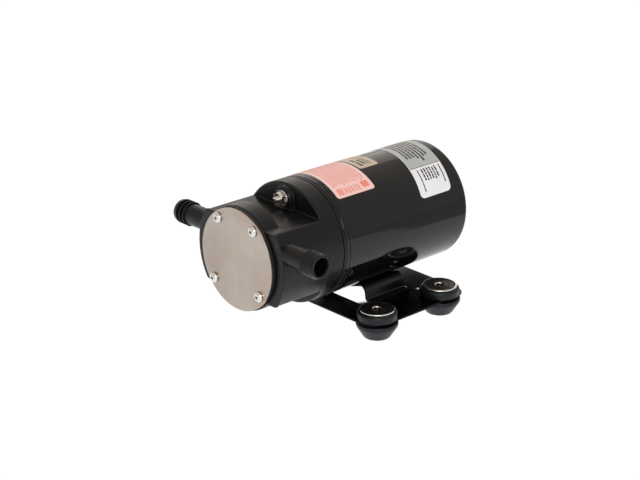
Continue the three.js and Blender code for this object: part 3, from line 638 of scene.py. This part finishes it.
def cross_recess(depth, arm=2.35, width=0.9):
    """A tapered cross to cut into a screw's head, around its axis."""
    parts = []
    for turn in (0, math.pi / 2):
        wide, deep = np.array([math.cos(turn), math.sin(turn)]), np.array([-math.sin(turn), math.cos(turn)])
        vertices = []
        for length, reach, half in ((-4.5, arm * 1.25, width * 0.75), (depth, arm * 0.35, width * 0.3)):
            for su, sv in ((-1, -1), (1, -1), (1, 1), (-1, 1)):
                spot = wide * su * reach + deep * sv * half
                vertices.append((spot[0], length, spot[1]))
        faces = [(0, 1, 2, 3), (7, 6, 5, 4)] + [(i, (i + 1) % 4, 4 + (i + 1) % 4, 4 + i) for i in range(4)]
        parts.append((vertices, faces))
    return parts


def screw(name, node, material, flip_up=False, turn=0.0):
    """A cross-head screw where its CAD node is, along Y, or with its head down along Z."""
    low, high = span(node)
    lengthwise = high.z - low.z if flip_up else high.y - low.y
    head = (high.x - low.x) / 2 + 0.25
    height = 2.6 if flip_up else 2.7
    outline = pan_head(head, height, 2.0, lengthwise - height)
    obj = make_mesh(name, *lathe(outline, segments=48))
    cut(obj, *cross_recess(-height + 2.0))
    centre = Vector(((low.x + high.x) / 2, low.y + height, (low.z + high.z) / 2))
    spin = Matrix.Rotation(turn, 4, "Y")
    if flip_up:
        centre = Vector(((low.x + high.x) / 2, (low.y + high.y) / 2, low.z + height))
        spin = Matrix.Rotation(math.pi / 2, 4, "X") @ spin
    move = Matrix.Translation(ORIGIN + centre * MM) @ spin @ Matrix.Translation(-ORIGIN)
    obj.data.transform(move)
    dress(obj, [material, PAINTED_RECESS_SHADE], [node])
    middle = ORIGIN + centre * MM
    # The faces inside the cross recess take the dark steel, which paints the shade in the recess.
    for face in obj.data.polygons:
        spot = (face.center - middle) / MM
        depth = -spot.z if flip_up else -spot.y
        reach = math.hypot(spot.x, spot.y if flip_up else spot.z)
        face.material_index = int(reach < 2.9 and depth < height - 0.25 - 0.09 * reach ** 2 and depth > 0)
    return obj


def hexagon(corner):
    """A regular hexagon by its distance from middle to corner."""
    return [(corner * math.sin(a), corner * math.cos(a)) for a in np.linspace(0, 2 * math.pi, 7)[:6]]


def hex_nut(side):
    node = f"stud_nut_{side}"
    low, high = span(node)
    z = (low.z + high.z) / 2
    flats = (high.x - low.x) / 2 + 0.25
    corner = flats / math.cos(math.pi / 6)
    nut = make_mesh(f"hex_nut_{side}", *prism(hexagon(corner), low.y, high.y, "Y", (0, 0, z)))
    trim = rounded([
        (corner * 1.3, low.y - 1), (corner * 0.86, low.y - 0.02), (corner * 1.02, low.y + 0.85),
        (corner * 1.02, high.y - 0.85), (corner * 0.86, high.y + 0.02), (corner * 1.3, high.y + 1),
    ], 0)
    cut(nut, lathe(trim, centre=(0, 0, z), segments=48))
    cut(nut, prism(circle(2.75, 32), low.y - 1, high.y + 1, "Y", (0, 0, z)))
    soften(nut, 0.12)
    return dress(nut, BRIGHT_STEEL, [node])


def washer(side):
    node = f"stud_washer_{side}"
    low, high = span(node)
    z = (low.z + high.z) / 2
    rim = high.z - z + 0.3
    outline = rounded([(2.8, low.y), (rim, low.y), (rim, high.y), (2.8, high.y)], 0.2, 3)
    obj = make_mesh(f"washer_{side}", *lathe(outline, centre=(0, 0, z), segments=64))
    return dress(obj, BRIGHT_STEEL, [node])


def tie_bolt(side):
    """A long bolt: a chamfered hexagon head at the motor's rear and a threaded end at the front."""
    node = f"tie_bolt_{side}"
    low, high = span(node)
    z = (low.z + high.z) / 2
    pitch, crest, root = 0.8, 2.4, 2.0
    outline = [(0, low.y), (root - 0.5, low.y)]
    turns = int(16 / pitch)
    for i in range(turns):
        start = low.y + 0.5 + i * pitch
        outline += [(root, start), (crest, start + pitch * 0.35), (crest, start + pitch * 0.55)]
    under_head = high.y - 3.6
    plain = crest - 0.1
    outline += [(plain, low.y + 0.5 + turns * pitch), (plain, under_head + 1), (0, under_head + 1)]
    shank = lathe(outline, centre=(0, 0, z), segments=32)
    corner = (high.z - low.z) / 2
    head = make_mesh("bolt_head", *prism(hexagon(corner), under_head, high.y, "Y", (0, 0, z)))
    trim = rounded([
        (corner * 1.3, under_head - 1), (corner * 1.03, under_head), (corner * 1.03, high.y - 0.8),
        (corner * 0.84, high.y + 0.02), (corner * 1.3, high.y + 1),
    ], 0)
    cut(head, lathe(trim, centre=(0, 0, z), segments=48))
    soften(head, 0.15)
    obj = make_mesh(f"tie_bolt_{side}_shape", *shank)
    return dress(merged(obj, head), BRIGHT_STEEL, [node])


def merged(first, *others):
    """Puts several objects' meshes into the first one."""
    work = bmesh.new()
    for obj in (first, *others):
        work.from_mesh(obj.data)
    work.to_mesh(first.data)
    work.free()
    for obj in others:
        bpy.data.objects.remove(obj)
    return first


# ---- Motor ------------------------------------------------------------------------------------------------

def stud_holes(radius, low, high):
    return joined(*[prism(circle(radius, 32), low, high, "Y", (0, 0, s * STUD_Z)) for s in (1, -1)])


def motor_gasket():
    low, high = span("motor_gasket")
    rim = MOTOR_R - 0.25
    outline = rounded([(20, low.y), (rim, low.y), (rim, high.y), (20, high.y)], 0.35, 4)
    obj = make_mesh("motor_gasket_ring", *lathe(outline, segments=160))
    cut(obj, stud_holes(2.8, low.y - 1, high.y + 1))
    return dress(obj, FLANGE_SEAL, ["motor_gasket"])


def front_end_bell():
    low, high = span("front_end_bell")
    rear = low.y + 3.6
    spigot = low.y + 9
    outline = rounded([
        (6.5, low.y, 0.3), (MOTOR_R, low.y, 0.7), (MOTOR_R, rear, 0.5), (47.3, rear, 0), (47.3, spigot),
        (42, spigot), (42, rear), (14, rear), (14, high.y),
        (11.3, high.y), (11.3, low.y + 4), (6.5, low.y + 4),
    ], 0.4, 3)
    obj = make_mesh("end_bell", *lathe(outline, segments=128))
    cut(obj, stud_holes(2.8, low.y - 1, rear + 1))
    return dress(obj, MOTOR_PAINT, ["front_end_bell"])


def motor_shell():
    low, high = span("motor_shell")
    rear = high.y - 4
    bore = MOTOR_R - 2.4
    outline = rounded([
        (MOTOR_R, low.y, 0.5), (MOTOR_R, rear, 3.9), (15.5, rear, 1.2), (13.6, high.y - 0.3, 1.6),
        (0, high.y, 0), (0, high.y - 2.3, 0), (11.3, high.y - 2.3, 0.5), (11.3, rear - 2.3, 0.5),
        (bore, rear - 2.3, 3), (bore, low.y, 0.4),
    ], 0.5, 8)
    obj = make_mesh("motor_can", *lathe(outline, segments=192))
    cut(obj, stud_holes(2.8, rear - 4, rear + 2))
    grommet_low, grommet_high = span("cable_grommet")
    z = (grommet_low.z + grommet_high.z) / 2
    cut(obj, prism(circle(6.3, 40), rear - 5, rear + 3, "Y", (0, 0, z)))
    for i in (1, 2):
        screw_low, screw_high = span(f"saddle_screw_{i}")
        y = (screw_low.y + screw_high.y) / 2
        cut(obj, prism(circle(2.5, 24), -MOTOR_R - 2, 4 - MOTOR_R, "Z", (0, y, 0)))
    return dress(obj, MOTOR_PAINT, ["motor_shell"])


def cable_grommet():
    low, high = span("cable_grommet")
    z = (low.z + high.z) / 2
    inner, outer = low.y + 1.8, high.y - 1.8
    outline = rounded([
        (2.8, low.y), (8, low.y), (8, inner), (6, inner),
        (6, outer), (8, outer), (7.4, high.y), (2.8, high.y),
    ], 0.7, 4)
    obj = make_mesh("grommet", *lathe(outline, centre=(0, 0, z), segments=64))
    return dress(obj, FOOT_RUBBER, ["cable_grommet"])


# ---- Labels -----------------------------------------------------------------------------------------------

LEAN = 0.1
LEAN_FROM = 26


def film(radius, y0, y1, from_deg, to_deg, corner=0.0, thickness=0.12, columns=72, lean=0.0):
    """A film wrapped on the motor, between two stations along it and two angles from +X, with round corners.

    `lean` moves it back by that many millimetres for each degree past LEAN_FROM.
    """
    length = math.radians(to_deg - from_deg) * radius
    vertices, faces = [], []
    for i in range(columns + 1):
        s = 0.5 - 0.5 * math.cos(math.pi * i / columns) if corner else i / columns
        run = s * length
        from_end = min(run, length - run)
        short = min(corner, max(0, corner - from_end))
        inset = corner - math.sqrt(corner ** 2 - short ** 2)
        angle = math.radians(from_deg) + run / radius
        back = lean * (math.degrees(angle) - LEAN_FROM)
        for r in (radius, radius + thickness):
            for y in (y0 + inset + back, y1 - inset + back):
                vertices.append((r * math.cos(angle), y, r * math.sin(angle)))
    for i in range(columns):
        a, b = 4 * i, 4 * i + 4
        faces += [(a + 2, a + 3, b + 3, b + 2), (a, b, b + 1, a + 1)]
        faces += [(a, a + 2, b + 2, b), (a + 1, b + 1, b + 3, a + 3)]
    end = 4 * columns
    faces += [(0, 1, 3, 2), (end, end + 2, end + 3, end + 1)]
    return vertices, faces


def dashes(rng, radius, y, height, from_deg, to_deg, gap=0.7, lean=0.0):
    """One printed line, as word-length bars that stand for text."""
    parts = []
    angle = from_deg
    while angle < to_deg - 1:
        reach = min(rng.uniform(1.6, 6.5), to_deg - angle)
        parts.append(film(radius, y, y + height, angle, angle + reach, 0, 0.03, max(2, int(reach)), lean))
        angle += reach + gap
    return parts


FILM_R = MOTOR_R + 0.06
PRINT_R = FILM_R + 0.13


def label_node(node):
    low, high = span(node)
    return low.y, high.y


def rating_label():
    """A warning-style label in pale and deeper red, with dashes and plain panels and no words."""
    y0, y1 = label_node("rating_label")
    base = make_mesh("red_label", *film(FILM_R, y0, y1, 50, 150, 2.6))
    dress(base, PINK_FILM, ["rating_label"])
    rng = random.Random(3)
    parts = []
    for row in range(13):
        y = y0 + 3.4 + row * 2.7
        parts += dashes(rng, PRINT_R, y, 1.5, 62 + rng.uniform(0, 3), 146 - rng.uniform(0, 8), 0.8)
    parts += [film(PRINT_R, y0 + 3.4, y0 + 9.5, 52.5, 60, 0.4, 0.03, 12)]
    for row in range(5):
        parts += dashes(rng, PRINT_R, y0 + 11.2 + row * 3.4, 2.2, 52.5 + rng.uniform(0, 1), 59.5, 0.6)
    printing = make_mesh("red_label_print", *joined(*parts))
    dress(printing, PINK_INK)
    patch = make_mesh("red_label_patch", *film(PRINT_R, y0 + 30, y1 - 3.6, 54, 61, 0.6, 0.03, 12))
    dress(patch, RED_INK)


def approval_label():
    """A small beige label with plain bars."""
    y0, y1 = label_node("approval_label")
    base = make_mesh("beige_label", *film(FILM_R, y0, y1, 75.5, 124, 2.2))
    dress(base, TAN_FILM, ["approval_label"])
    bars = [
        (4.2, 6.6, 79, 88), (4.2, 6.6, 89, 97), (8.6, 10.8, 81, 93),
        (12.6, 13.6, 80, 104), (15.0, 15.8, 80, 97),
    ]
    parts = [film(PRINT_R, y0 + a, y0 + b, c, d, 0, 0.03, 12) for a, b, c, d in bars]
    printing = make_mesh("beige_label_print", *joined(*parts))
    dress(printing, DARK_INK)


def wiring_label():
    """A white label in two fields, with rows of bars in place of its text; it sits slightly askew."""
    y0, y1 = 157.8, 193.0  # its ends along the motor at its lower edge, before the lean
    base = make_mesh("white_label", *film(FILM_R, y0, y1, 26, 122, 4.2, lean=LEAN))
    dress(base, WHITE_FILM, ["wiring_label"])
    upper = film(FILM_R + 0.05, y0 + 0.3, y1 - 0.3, 56.8, 121, 0.5, 0.1, lean=LEAN)
    field = make_mesh("white_label_field", *upper)
    dress(field, GREY_FILM)
    rng = random.Random(11)
    parts = [film(PRINT_R, y0 + 0.5, y1 - 0.5, 56.2, 56.8, 0, 0.03, 2, LEAN)]
    parts += dashes(rng, PRINT_R, y0 + 6.3, 1.1, 31, 54, 0.25, LEAN)
    for row in range(6):
        y = y0 + 10.6 + row * 3.0
        end = 43 - 2.5 * rng.random() - (2.5 if row == 4 else 0)
        parts += dashes(rng, PRINT_R, y, 1.6, end, 54, 0.5, LEAN)
    parts += dashes(rng, PRINT_R, y1 - 4.4, 1.2, 35, 54, 0.3, LEAN)
    for row in range(7):
        y = y0 + 5.4 + row * 3.6
        start = 62 if row == 4 else 66 + 3 * rng.random()
        parts += dashes(rng, PRINT_R, y, 2.1, start, 116 - rng.uniform(0, 8), 0.4, LEAN)
    printing = make_mesh("white_label_print", *joined(*parts))
    dress(printing, DARK_INK)


# ---- Base and feet ----------------------------------------------------------------------------------------

def foot_places():
    for i in range(1, 5):
        low, high = span(f"rubber_foot_{i}")
        yield i, (low.x + high.x) / 2, (low.y + high.y) / 2


def base_plate():
    low, high = span("base_plate")
    corner = 14
    outline = rounded([(low.x, low.y), (high.x, low.y), (high.x, high.y), (low.x, high.y)], corner, 10)
    plate = make_mesh("base_sheet", *prism(outline, low.z, high.z))
    half, front, back = WINDOW
    window = rounded([(-half, front), (half, front), (half, back), (-half, back)], 3, 4)
    tools = [prism(window, low.z - 1, high.z + 1)]
    for _, x, y in foot_places():
        tools.append(prism(circle(9.9, 48), low.z - 1, high.z + 1, "Z", (x, y, 0)))
    for x, y in SMALL_HOLES:
        for side in (-1, 1):
            tools.append(prism(circle(1.6, 24), low.z - 1, high.z + 1, "Z", (side * x, y, 0)))
    cut(plate, joined(*tools))
    soften(plate, 0.3)
    dress(plate, [BASE_PAINT, BRIGHT_STEEL], ["base_plate"])
    # The walls of the small holes are bright steel: a painted glint that makes each hole show as a bright
    # dot.
    for face in plate.data.polygons:
        spot = (face.center - ORIGIN) / MM
        near = min(math.hypot(abs(spot.x) - x, spot.y - y) for x, y in SMALL_HOLES)
        face.material_index = int(near < 2.0 and abs(face.normal.z) < 0.9)
    return plate


def folded_strip(line, thick, front, rear):
    """A sheet of even thickness along an open (x, z) line, pushed along Y; the line is its upper side."""
    line = np.array(line, float)
    ahead = np.diff(line, axis=0)
    ahead /= np.linalg.norm(ahead, axis=1)[:, None]
    turn = np.vstack([ahead[:1], ahead[:-1] + ahead[1:], ahead[-1:]])
    turn /= np.linalg.norm(turn, axis=1)[:, None]
    across = np.stack([-turn[:, 1], turn[:, 0]], 1)
    square = np.vstack([ahead[:1], ahead])
    bend = np.clip((turn * square).sum(1), 0.5, 1)
    lower = line + across * (thick / bend)[:, None]
    vertices = []
    for (x, z), (under_x, under_z) in zip(line, lower):
        vertices += [(x, front, z), (x, rear, z), (under_x, front, under_z), (under_x, rear, under_z)]
    faces = [(0, 2, 3, 1)]
    for i in range(len(line) - 1):
        a, b = 4 * i, 4 * i + 4
        faces += [(a, a + 1, b + 1, b), (a + 2, b + 2, b + 3, a + 3)]
        faces += [(a, b, b + 2, a + 2), (a + 1, a + 3, b + 3, b + 1)]
    last = 4 * len(line) - 4
    faces.append((last, last + 1, last + 3, last + 2))
    return vertices, faces


def saddle_line(foot_tip, foot_top, radius):
    """The saddle's upper side, from its right foot over the cradle to its left foot, with rounded folds."""
    tangent = (radius * math.sin(SADDLE_SLOPE), -radius * math.cos(SADDLE_SLOPE))
    brow = tangent[1] + (SADDLE_BROW - tangent[0]) * math.tan(SADDLE_SLOPE)
    steps = np.linspace(1, 0.15, 6)
    cradle = [(radius * math.sin(SADDLE_SLOPE * s), -radius * math.cos(SADDLE_SLOPE * s), 0) for s in steps]
    right = [(foot_tip, foot_top, 0), (SADDLE_FOOT, foot_top, 1.6), (*SADDLE_SHOULDER, 2.2)]
    right += [(SADDLE_BROW, brow, 2.0), *cradle]
    return rounded(right + [(-x, z, r) for x, z, r in reversed(right)], 0, 6)


def motor_saddle():
    low, high = span("motor_saddle")
    radius = MOTOR_R + 0.35
    line = saddle_line(high.x, low.z + SADDLE_THICK, radius)
    saddle = make_mesh("saddle_strip", *folded_strip(line, SADDLE_THICK, low.y, high.y))
    for i in (1, 2):
        screw_low, screw_high = span(f"saddle_screw_{i}")
        y = (screw_low.y + screw_high.y) / 2
        cut(saddle, prism(circle(2.5, 24), -radius - 4, 2 - radius, "Z", (0, y, 0)))
    soften(saddle, 0.25)
    return dress(saddle, SADDLE_PAINT, ["motor_saddle"])


def rubber_foot(i, x, y):
    plate_low, plate_high = span("base_plate")
    top = span(f"rubber_foot_{i}")[1].z
    outline = rounded([
        (5.3, GROUND, 0.4), (10.6, GROUND, 1.6),
        (17.2, plate_low.z - 3.2, 2.6), (17.2, plate_low.z - 0.2, 1.3),
        (9.2, plate_low.z - 0.2, 0.3), (9.2, plate_high.z + 0.2, 0.3), (16.1, plate_high.z + 0.2, 0.7),
        (16.4, top - 1.2, 2.2), (14.4, top, 0.8), (5.3, top, 0.4),
    ], 0.5, 5)
    obj = make_mesh(f"foot_rubber_{i}", *lathe(outline, "Z", (x, y, 0), 96))
    return dress(obj, FOOT_RUBBER, [f"rubber_foot_{i}"])


def foot_sleeve(i, x, y):
    low, high = span(f"foot_sleeve_{i}")
    disc = (high.x - low.x) / 2 + 0.1
    outline = rounded([
        (3.6, low.z, 0.3), (4.9, low.z, 0.3), (4.9, high.z - 1.2, 0.5), (disc, high.z - 1.2, 0.4),
        (disc, high.z - 0.1, 0.5), (disc - 1.3, high.z, 0.4), (disc - 2.2, high.z - 0.35, 0.5),
        (6.2, high.z - 0.35, 0.6), (4.6, high.z - 0.05, 0.5), (3.6, high.z - 0.5, 0.5),
    ], 0.4, 4)
    obj = make_mesh(f"sleeve_{i}", *lathe(outline, "Z", (x, y, 0), 96))
    dress(obj, [DARK_STEEL, BRIGHT_STEEL], [f"foot_sleeve_{i}"])
    centre = ORIGIN + Vector((x, y, 0)) * MM
    # The outer rim and the bore are bright steel and the rest dark steel: a bare metal edge, which also
    # paints the highlights on the rim and in the bore.
    for face in obj.data.polygons:
        spot = face.center - centre
        radius = math.hypot(spot.x, spot.y) / MM
        if radius > disc - 1.25 or radius < 4.7:
            face.material_index = 1
    return obj


# ---- The rest of the CAD nodes keep their shape -----------------------------------------------------------

KEPT = {
    "cam": PLASTIC, "impeller": SEAL_RUBBER, "impeller_bush": BRASS, "drive_pin": BRIGHT_STEEL,
    "wear_plate": PLATE_STEEL, "shaft_seal": SEAL_RUBBER, "slinger": SEAL_RUBBER,
    "drive_shaft": BRIGHT_STEEL, "front_bearing": BRIGHT_STEEL, "rear_bearing": BRIGHT_STEEL,
    "magnet_right": FERRITE, "magnet_left": FERRITE, "armature_core": IRON, "windings": COPPER,
    "commutator": COPPER, "brush_plate": BOARD, "brush_right": CARBON, "brush_left": CARBON,
    "brush_holder_right": BRASS, "brush_holder_left": BRASS,
    "brush_spring_right": BRIGHT_STEEL, "brush_spring_left": BRIGHT_STEEL,
}


def build():
    pump_body()
    for side in (1, -1):
        hose_barb(side)
    cover_plate()
    cover_gasket()
    rng = random.Random(5)
    for i, _, _ in screw_places():
        screw(f"cover_screw_head_{i}", f"cover_screw_{i}", BRIGHT_STEEL, turn=rng.uniform(0, math.pi / 2))
    for side in ("top", "bottom"):
        hex_nut(side)
        washer(side)
        tie_bolt(side)
    motor_gasket()
    front_end_bell()
    motor_shell()
    cable_grommet()
    rating_label()
    approval_label()
    wiring_label()
    base_plate()
    motor_saddle()
    for i in (1, 2):
        screw(f"saddle_screw_head_{i}", f"saddle_screw_{i}", BRIGHT_STEEL, True, rng.uniform(0, math.pi / 2))
    for i, x, y in foot_places():
        rubber_foot(i, x, y)
        foot_sleeve(i, x, y)
    for node, material in KEPT.items():
        obj = frame["nodes"][node]
        obj.data.materials.clear()
        obj.data.materials.append(material)


# ---- Floor, light and camera ------------------------------------------------------------------------------

# The floor isn't plain. It turns grey where a point lies this far, in metres, along all three directions: the
# motor's gloss mirrors the edge. The grey is outside this camera's view and shows from some other directions.
GREY_WEDGE = (((0, 1, 0), 0.191), ((-0.593, 0.805, 0), 0.025), ((0.798, 0.603, 0), 0.263))
WEDGE_EDGE = 0.015
# A painted shadow: a dark disc under the base plate, where this camera doesn't see it, dims its reflection in
# the motor.
SHADOW_DISC_MIDDLE = (0.020, 0.020, 0)
SHADOW_DISC_RADII = (0.016, 0.0205)


def floor():
    """A pale, glowing table, with a dark disc of painted shadow under the base plate and a grey wedge behind
    the pump.
    """
    size = 12.0
    mesh = bpy.data.meshes.new("floor")
    corners = [(-size, -size, 0), (size, -size, 0), (size, size, 0), (-size, size, 0)]
    mesh.from_pydata(corners, [], [(0, 1, 2, 3)])
    obj = bpy.data.objects.new("floor", mesh)
    bpy.context.scene.collection.objects.link(obj)
    look = Look("light_table", (0.03, 0.03, 0.03), 0.9, Specular_IOR_Level=0.0)
    look.tint(look.noise(0.002, 2), (0.028, 0.028, 0.028), 0.5)
    look.shader.inputs["Emission Color"].default_value = (1, 1, 1, 1)
    shade = None
    for direction, start in GREY_WEDGE:
        reach = look.node("ShaderNodeVectorMath", operation="DOT_PRODUCT")
        reach.inputs[1].default_value = direction
        look.link(look.place, reach.inputs[0])
        part = look.remap(reach.outputs["Value"], 0.0, 1.0, start, start + WEDGE_EDGE)
        if shade is not None:
            least = look.node("ShaderNodeMath", operation="MINIMUM")
            look.link(shade, least.inputs[0])
            look.link(part, least.inputs[1])
            part = least.outputs["Value"]
        shade = part
    # The painted shadow: the glow fades out inside the disc under the base plate.
    distance = look.node("ShaderNodeVectorMath", operation="DISTANCE")
    distance.inputs[1].default_value = SHADOW_DISC_MIDDLE
    look.link(look.place, distance.inputs[0])
    disc = look.remap(distance.outputs["Value"], 0.05, 1.0, *SHADOW_DISC_RADII)
    glow = look.node("ShaderNodeMath", operation="MULTIPLY")
    look.link(look.remap(shade, 1.0, 0.5, 0.0, 1.0), glow.inputs[0])
    look.link(disc, glow.inputs[1])
    look.link(glow.outputs["Value"], look.shader.inputs["Emission Strength"])
    mesh.materials.append(look.material)


def area_light(name, place, size, watts, colour):
    data = bpy.data.lights.new(name, "AREA")
    data.shape = "RECTANGLE"
    data.size, data.size_y = size
    data.energy = watts
    data.color = colour
    obj = bpy.data.objects.new(name, data)
    obj.location = place
    aim = Vector((0, 0, AXIS)) - obj.location
    obj.rotation_euler = aim.to_track_quat("-Z", "Y").to_euler()
    bpy.context.scene.collection.objects.link(obj)


def lights():
    world = bpy.data.worlds.new("studio")
    bpy.context.scene.world = world
    world.use_nodes = True
    background = next(n for n in world.node_tree.nodes if n.type == "BACKGROUND")
    background.inputs["Color"].default_value = (1.0, 0.88, 0.77, 1)
    background.inputs["Strength"].default_value = 0.7
    area_light("overhead", (-0.3, 0.2, 2.0), (2.0, 2.0), 3, (1.0, 0.98, 0.96))
    area_light("key", (1.4, -1.2, 0.95), (1.0, 1.0), 17, (1.0, 0.97, 0.95))
    area_light("behind", (-1.4, 1.3, 0.9), (1.6, 1.2), 4, (1.0, 0.97, 0.94))


def camera():
    """The studio camera: in front, to the right and a little above, with a long lens."""
    turn, tilt = math.radians(47.32), math.radians(21.51)
    distance = 1.3147
    back = Vector((math.sin(turn) * math.cos(tilt), -math.cos(turn) * math.cos(tilt), math.sin(tilt)))
    right = Vector((math.cos(turn), math.sin(turn), 0))
    up = back.cross(right)
    target = ORIGIN + Vector((0, 0.080, 0)) + right * 0.0053 - up * 0.00538
    data = bpy.data.cameras.new("camera")
    data.lens = 91.94
    data.sensor_width = 36
    data.clip_end = 50
    obj = bpy.data.objects.new("camera", data)
    obj.rotation_euler = back.to_track_quat("Z", "Y").to_euler()
    obj.location = target + back * distance
    bpy.context.scene.collection.objects.link(obj)
    bpy.context.scene.camera = obj


camera()
build()
floor()
lights()
bpy.context.scene.view_settings.view_transform = "Standard"
for made in bpy.data.materials:
    made.use_fake_user = False
